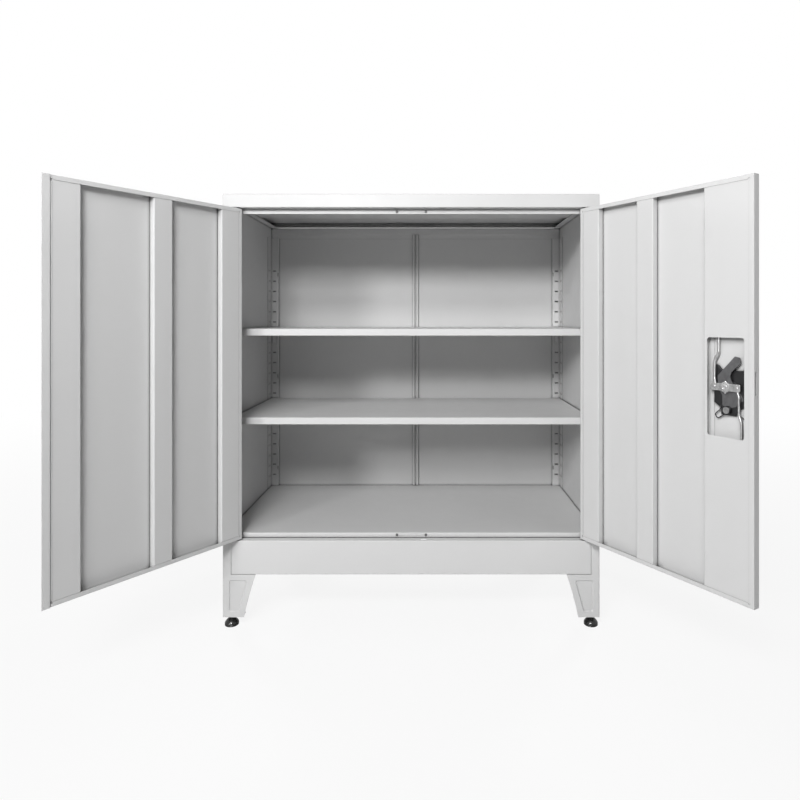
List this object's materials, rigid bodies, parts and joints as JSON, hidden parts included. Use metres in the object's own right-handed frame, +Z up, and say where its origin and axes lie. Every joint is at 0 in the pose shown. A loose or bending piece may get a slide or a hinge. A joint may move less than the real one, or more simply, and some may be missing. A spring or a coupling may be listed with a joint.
{
  "type": "tool cabinet",
  "caption": "Sheet-metal tool cabinet with hinged doors, shelves on slotted uprights, a lever handle that drives a rod lock, and pressed legs on screw feet.",
  "frame": {"origin": "on the floor, under the centre of the whole with its doors open as in the picture; X = 0 is the cabinet body's middle plane to within the size of the doors' different angles", "axes": "+X to the right as seen from the front, +Y from the doors to the back, +Z up"},
  "size_m": [1.3072, 0.8102, 1.036],
  "materials": {
    "paint": "light grey powder coat, fine texture, satin",
    "zinc": "bright zinc plate",
    "dark_zinc": "dull dark zinc plate",
    "black_plastic": "moulded, satin",
    "rubber": "smooth, satin",
    "nylon": "moulded, satin"
  },
  "bodies": {
    "cabinet": {"left_side_panel": "paint", "right_side_panel": "paint", "top_panel": "paint", "top_stop_rail": "paint", "panel_stiffeners": "paint", "bottom_panel": "paint", "back_panel_left": "paint", "back_panel_right": "paint", "back_centre_rib": "paint", "back_top_rail": "paint", "rear_upright_left": "paint", "rear_upright_right": "paint", "front_upright_left": "paint", "front_upright_right": "paint", "upper_shelf": "paint", "lower_shelf": "paint", "shelf_clips": "zinc", "front_plinth": "paint", "rear_plinth": "paint", "side_plinth_left": "paint", "side_plinth_right": "paint", "leg_front_left": "paint", "leg_front_right": "paint", "leg_rear_left": "paint", "leg_rear_right": "paint", "base_bolts": "zinc", "hinge_pins": "zinc", "door_buffers": "rubber"},
    "left_door": {"left_door_skin": "paint", "left_hinge_stile": "paint", "left_stiffener": "paint", "left_free_stile": "paint", "left_overlap_strip": "paint", "left_door_bushes": "nylon"},
    "right_door": {"right_door_skin": "paint", "right_hinge_stile": "paint", "right_stiffener": "paint", "right_lock_stile": "paint", "right_door_bushes": "nylon", "lock_housing": "black_plastic", "lock_base_plate": "dark_zinc", "handle_escutcheon": "black_plastic", "cylinder_barrel": "black_plastic", "cylinder_clip": "black_plastic"},
    "handle": {"handle_grip": "black_plastic", "handle_spindle": "zinc", "cam_bar": "zinc", "latch_tongue": "dark_zinc", "hub_screw": "zinc"},
    "upper_rod_link": {"upper_rod": "zinc"},
    "lower_rod_link": {"lower_rod": "zinc"},
    "key": {"key_plug": "zinc"},
    "foot_front_left": {"foot_pad_front_left": "rubber", "foot_stud_front_left": "zinc"},
    "foot_front_right": {"foot_pad_front_right": "rubber", "foot_stud_front_right": "zinc"},
    "foot_rear_left": {"foot_pad_rear_left": "rubber", "foot_stud_rear_left": "zinc"},
    "foot_rear_right": {"foot_pad_rear_right": "rubber", "foot_stud_rear_right": "zinc"}
  },
  "joints": [
    {"name": "left_door_hinge", "type": "hinge", "parent": "cabinet", "child": "left_door", "pos_m": [-0.4195, -0.03986, 0.606], "axis": [0, 0, -1], "range_deg": [-124.6, 2.9]},
    {"name": "right_door_hinge", "type": "hinge", "parent": "cabinet", "child": "right_door", "pos_m": [0.4195, -0.03986, 0.606], "axis": [0, 0, 1], "range_deg": [-121.9, 5.6]},
    {"name": "handle_turn", "type": "hinge", "parent": "right_door", "child": "handle", "pos_m": [0.61385, -0.34264, 0.608], "axis": [-0.849, -0.5284, 0], "range_deg": [-66, 0]},
    {"name": "upper_rod_pivot", "type": "hinge", "parent": "handle", "child": "upper_rod_link", "pos_m": [0.59075, -0.33051, 0.608], "axis": [-0.849, -0.5284, 0], "range_deg": [0, 68.1]},
    {"name": "lower_rod_pivot", "type": "hinge", "parent": "handle", "child": "lower_rod_link", "pos_m": [0.61453, -0.36872, 0.608], "axis": [-0.849, -0.5284, 0], "range_deg": [0, 68.1]},
    {"name": "key_turn", "type": "hinge", "parent": "right_door", "child": "key", "pos_m": [0.61464, -0.34391, 0.5645], "axis": [-0.849, -0.5284, 0], "range_deg": [0, 90]},
    {"name": "foot_front_left_adjust", "type": "slide", "parent": "cabinet", "child": "foot_front_left", "axis": [0, 0, 1], "range_m": [-0.015, 0.005]},
    {"name": "foot_front_right_adjust", "type": "slide", "parent": "cabinet", "child": "foot_front_right", "axis": [0, 0, 1], "range_m": [-0.015, 0.005]},
    {"name": "foot_rear_left_adjust", "type": "slide", "parent": "cabinet", "child": "foot_rear_left", "axis": [0, 0, 1], "range_m": [-0.015, 0.005]},
    {"name": "foot_rear_right_adjust", "type": "slide", "parent": "cabinet", "child": "foot_rear_right", "axis": [0, 0, 1], "range_m": [-0.015, 0.005]}
  ],
  "couplings": [
    {"joint": "upper_rod_pivot", "follows": "handle_turn", "ratio": -1.031},
    {"joint": "lower_rod_pivot", "follows": "handle_turn", "ratio": -1.031}
  ]
}
